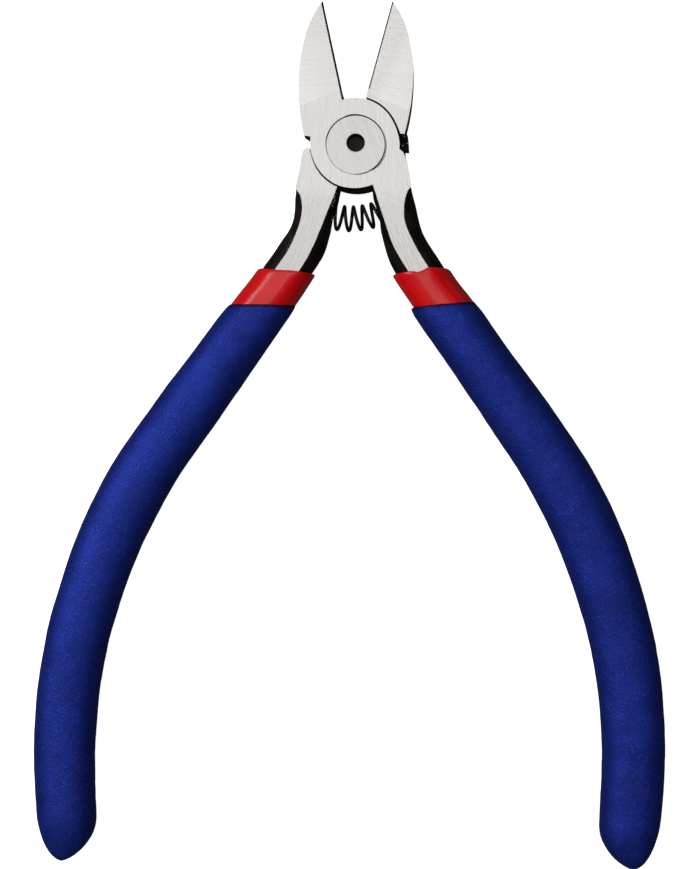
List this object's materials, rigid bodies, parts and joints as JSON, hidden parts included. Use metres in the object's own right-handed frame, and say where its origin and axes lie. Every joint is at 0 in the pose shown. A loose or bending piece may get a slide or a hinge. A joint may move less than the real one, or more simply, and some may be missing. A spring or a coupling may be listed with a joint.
{
  "type": "flush cut pliers",
  "caption": "Small hand cutter with flat-faced flush cutting jaws, a riveted lap joint, a coil return spring and dipped handles with long curved grips.",
  "frame": {"origin": "on the pivot axis, at the middle of the joint's flat rear face, which is also the surface the pliers lie on", "axes": "+Y from the pivot towards the jaws, +Z along the pivot axis out of the front face with the rivet head, +X to the right seen from the front"},
  "size_m": [0.0954, 0.1304, 0.0086],
  "materials": {
    "ground_steel": "brushed, with black oxide on the forged sides",
    "rivet_steel": "ground flush and brushed",
    "spring_wire": "black oxide spring steel",
    "inner_vinyl": "glossy red dip",
    "outer_foam": "matte blue foamed dip with a fine pebbled skin"
  },
  "bodies": {
    "front_half": {"front_lever": "ground_steel", "pivot_rivet": "rivet_steel", "return_spring": "spring_wire", "right_inner_sleeve": "inner_vinyl", "right_grip": "outer_foam"},
    "rear_half": {"rear_lever": "ground_steel", "left_inner_sleeve": "inner_vinyl", "left_grip": "outer_foam"}
  },
  "joints": [
    {"name": "jaw_hinge", "type": "hinge", "parent": "front_half", "child": "rear_half", "pos_m": [0, 0, 0], "axis": [0, 0, 1], "range_deg": [0, 26.7], "stiffness_Nm_per_rad": 0.35, "springref_deg": -14.32, "deforming": ["return_spring"]}
  ]
}
